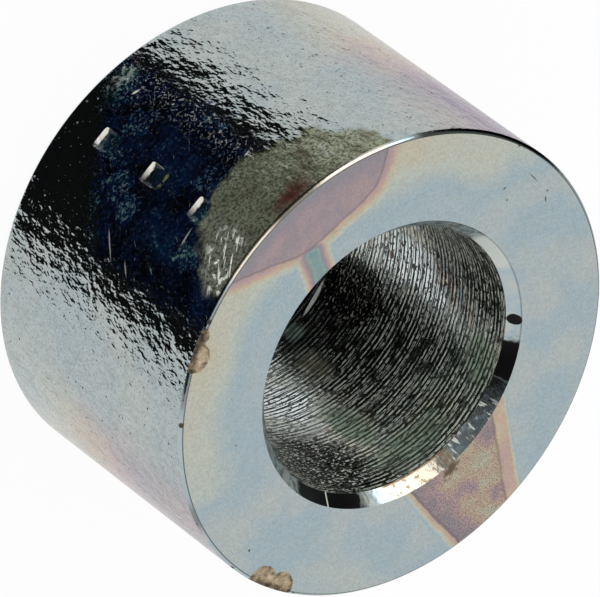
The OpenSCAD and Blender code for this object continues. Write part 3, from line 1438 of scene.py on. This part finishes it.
def finish_front_sink():
    """The front countersink, with its dirt, painted shade and a painted highlight laid over the bright cut.
    """
    metal, where = start_finish("front_sink")
    place = where["Place"]
    colour, roughness, metallic = edge_layers(where)
    slant = (where["Height"] - SINK_MIDDLE) * SINK_SLANT
    spot = mouth_spot(where, bore_r + sink_width / 2, slant)
    round_mouth = split(spot)["X"]
    # Black patches of grime, deepened as painted shade of the dark the countersink reflects
    grime = patches(spot, SINK_BLACK, 61.0, ragged=0.5, grain=1.2, soft=0.15)
    outer_line = ramp(slant, 0.46, 0.6, 0.0, 0.5) * ramp(round_mouth, 6.0, 9.0)
    dull = ramp(abs(where["Angle"]), 104.0, 88.0)
    soot = dull * ramp(noise(place, 2.2, 67.0, 4.0), 0.46, 0.58, 0.0, 0.6)
    # Painted highlight: a pale, mostly matte patch on the countersink
    pale = patch(spot, (17.0, 0.0), (2.7, 2.4), ragged=0.4, grain=0.9, soft=0.3, seed=66.0)
    scraped = ramp(drawn(spot, (3.0, 0.7, 1.0), 63.0, 3.0), 0.57, 0.63)
    lone_tick = ramp(abs(round_mouth - SINK_TICK), 0.1, 0.04)
    ticks = most(scraped * between(round_mouth, -3.7, 2.5, 0.5), lone_tick)
    beside = between(round_mouth, -9.3, -2.9, 0.3)
    crumbs = ramp(noise(place, 2.6, 64.0, 4.0), 0.54, 0.62)
    low_edge = ramp(slant + waver(place, 65.0, 0.2), -0.46, -0.6)
    rust = most(crumbs * 0.7, low_edge) * beside

    colour = layered(colour, [
        (beside * 0.55, paint(216, 194, 154)),
        (soot, paint(40, 44, 40)),
        # Painted highlight of the pale patch
        (pale, paint(220, 228, 222)),
        (outer_line, paint(60, 62, 58)),
        (grime, paint(16, 17, 16)),
        (rust, paint(140, 104, 64)),
        (ticks, paint(240, 240, 228)),
    ])
    roughness = adjusted(roughness, [(most(dull, pale), 0.34), (grime, 0.3)])
    metallic = adjusted(metallic, [(dull, 0.72), (pale, 0.2), (grime, 0.7), (most(rust, ticks), 0.3)])
    coat(metal, colour, roughness, metallic, peeled(where, 0.4, EDGE_SEED)["Height"], 0.014)


def finish_front_rim():
    """The front rim, with the crescent's stain, specks of rust and dark stretches of painted shade."""
    metal, where = start_finish("front_rim")
    colour, roughness, metallic = edge_layers(where)
    stain = ramp(crescent_inside(where["Place"]), -0.3, 0.6)
    rust = specks(where, 1.1, 0.3, 0.22)
    # Painted shade: a dark line along the rim's inner edge and dark stretches round it
    dark = ramp(where["Radius"], rim_r + 0.11, rim_r + 0.05, 0.0, 0.75)
    for angle, half, share in RIM_SHADE:
        away = abs(where["Angle"] - angle)
        dark = most(dark, ramp(away, half + RIM_FADE, half - RIM_FADE, 0.0, share))
    colour = layered(colour, [
        (stain, paint(220, 212, 196)),
        (rust, paint(84, 68, 50)),
        (dark, paint(30, 28, 24)),
    ])
    roughness = adjusted(roughness, [(stain, 0.22), (rust, 0.5)])
    layers = grimy(where, colour, roughness, lean(rust, metallic, 0.4))
    coat(metal, *layers, peeled(where, 0.5, EDGE_SEED)["Height"], 0.015)


for plain_edge in ("back_rim", "back_sink"):
    finish_edge(plain_edge)
finish_front_sink()
finish_front_rim()
print("edges finished")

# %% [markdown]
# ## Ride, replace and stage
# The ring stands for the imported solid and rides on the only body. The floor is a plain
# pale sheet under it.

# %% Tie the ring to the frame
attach(ring, "root")
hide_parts("spacer")

# %% Floor
FLOOR_SIZE = 3.0
FLOOR_DROP = 0.00002
FLOOR_GLOW = 0.94
WHITE = (1.0, 1.0, 1.0, 1.0)


def make_floor():
    """A white sheet that shows faint shadows."""
    half = FLOOR_SIZE / 2
    mesh = bpy.data.meshes.new("floor")
    corners = [(-half, -half), (half, -half), (half, half), (-half, half)]
    mesh.from_pydata([(x, y, -FLOOR_DROP) for x, y in corners], [], [(0, 1, 2, 3)])
    material = bpy.data.materials.new("floor_white")
    tree = empty_tree(material)
    lit = node(tree, "ShaderNodeBsdfDiffuse", {"Color": paint(248, 248, 248)})
    glow = node(tree, "ShaderNodeEmission", {"Color": WHITE, "Strength": 1.0})
    seen = node(tree, "ShaderNodeLightPath")["Is Camera Ray"]
    both = node(tree, "ShaderNodeMixShader", {"Fac": seen * FLOOR_GLOW, 1: lit[0], 2: glow[0]})
    node(tree, "ShaderNodeOutputMaterial", {"Surface": both[0]})
    mesh.materials.append(material)
    return add_object("floor", mesh)


floor = make_floor()
floor.visible_glossy = False
print("floor:", floor.name)

# %% [markdown]
# ## Light
# Bright metal shows its surroundings, so the studio matters as much as the plating. The
# world is a white tent with a dark opening where the camera stands and a dark flag at one
# side; only the metal's reflections see them. Everything else gets plain white light, and
# one soft lamp adds the brightest reflection.

# %% The tent
TENT_LEVEL = 0.78
DARK_LEVEL = 0.007
FILL_LEVEL = 0.85
OPENING_HALF = 57.0
OPENING_FLARE = 8.0
OPENING_TOP = 41.0
ROOM_LEVEL = 0.2
ROOF_LEVEL = 1.35
ROOF_FROM, ROOF_TO = -90.0, 40.0
ROOF_TOP = 70.0
FLAG_FROM, FLAG_TO = -142.0, -92.0
FLAG_LOW, FLAG_HIGH = -35.0, 22.0
EDGE_SOFT = 3.0


def make_tent():
    """The world: a tent for the reflections, plain white for everything else."""
    world = bpy.data.worlds.new("white_tent")
    bpy.context.scene.world = world
    tree = empty_tree(world)
    part = split(node(tree, "ShaderNodeTexCoord")["Generated"])
    turn = calc("DEGREES", calc("ARCTAN2", part["X"], -part["Y"]))
    rise = calc("DEGREES", calc("ARCSINE", part["Z"]))
    wider = ramp(rise, 5.0, 28.0, 0.0, OPENING_FLARE) * ramp(turn, 30.0, 60.0)
    below_top = ramp(rise, OPENING_TOP + EDGE_SOFT, OPENING_TOP - EDGE_SOFT)
    opening = between(turn - wider, -OPENING_HALF, OPENING_HALF, EDGE_SOFT) * below_top
    flag = between(turn, FLAG_FROM, FLAG_TO, EDGE_SOFT) * between(rise, FLAG_LOW, FLAG_HIGH, EDGE_SOFT)
    roof = between(turn, ROOF_FROM, ROOF_TO, EDGE_SOFT) * between(rise, OPENING_TOP, ROOF_TOP, EDGE_SOFT)
    room = lean(ramp(rise, 12.0, 30.0), DARK_LEVEL, ramp(turn, -35.0, 35.0, ROOM_LEVEL, DARK_LEVEL))
    tent = adjusted(TENT_LEVEL, [(flag, DARK_LEVEL), (roof, ROOF_LEVEL), (opening, room)])
    rays = node(tree, "ShaderNodeLightPath")
    level = adjusted(FILL_LEVEL, [(rays["Is Glossy Ray"], tent), (rays["Is Camera Ray"], 1.0)])
    light = node(tree, "ShaderNodeBackground", {"Color": WHITE, "Strength": level})
    node(tree, "ShaderNodeOutputWorld", {"Surface": light[0]})
    return world


tent = make_tent()
print("world:", tent.name)

# %% The soft lamp
LAMP_TURN = -64.0
LAMP_RISE = 35.0
LAMP_AWAY = 0.6
LAMP_WIDE = 0.42
LAMP_TALL = 0.26
LAMP_WATTS = 0.55


def looking_from(turn, rise, away):
    """A place round the ring, by angle from -Y towards +X, elevation and distance."""
    lift = math.radians(rise)
    return Vector(around(turn, away * math.cos(lift), away * math.sin(lift)))


def make_lamp():
    """A soft lamp that looks at the ring."""
    data = bpy.data.lights.new("soft_lamp", "AREA")
    data.shape = "RECTANGLE"
    data.size = LAMP_WIDE
    data.size_y = LAMP_TALL
    data.energy = LAMP_WATTS
    made = add_object("soft_lamp", data)
    made.location = looking_from(LAMP_TURN, LAMP_RISE, LAMP_AWAY)
    made.rotation_euler = made.location.to_track_quat("Z", "Y").to_euler()
    return made


lamp = make_lamp()
print("lamp at", tuple(round(value, 3) for value in lamp.location))

# %% [markdown]
# ## Camera
# The camera stands far off with a long lens, as the nearly parallel edges of the ring
# show, looks down at it at about 44 degrees and is rolled, so that the ring's axis points
# to the lower right of the picture.

# %% Camera
CAMERA_RISE = 44.31
CAMERA_ROLL = 126.56
CAMERA_AWAY = 0.80866
CAMERA_AIM = Vector((0.00013, 0.0, 0.0126))
CAMERA_LENS = 621.2


def make_camera():
    """The camera of the picture."""
    data = bpy.data.cameras.new("camera")
    data.sensor_width = 36.0
    data.lens = CAMERA_LENS
    data.clip_start = 0.05
    data.clip_end = 10.0
    made = add_object("camera", data)
    place = CAMERA_AIM + looking_from(0.0, CAMERA_RISE, CAMERA_AWAY)
    level = (CAMERA_AIM - place).to_track_quat("-Z", "Y").to_matrix().to_4x4()
    roll = Matrix.Rotation(math.radians(CAMERA_ROLL), 4, "Z")
    made.matrix_world = Matrix.Translation(place) @ level @ roll
    bpy.context.scene.camera = made
    return made


camera = make_camera()
bpy.context.scene.view_settings.view_transform = "Standard"
print("camera at", tuple(round(value, 4) for value in camera.location))
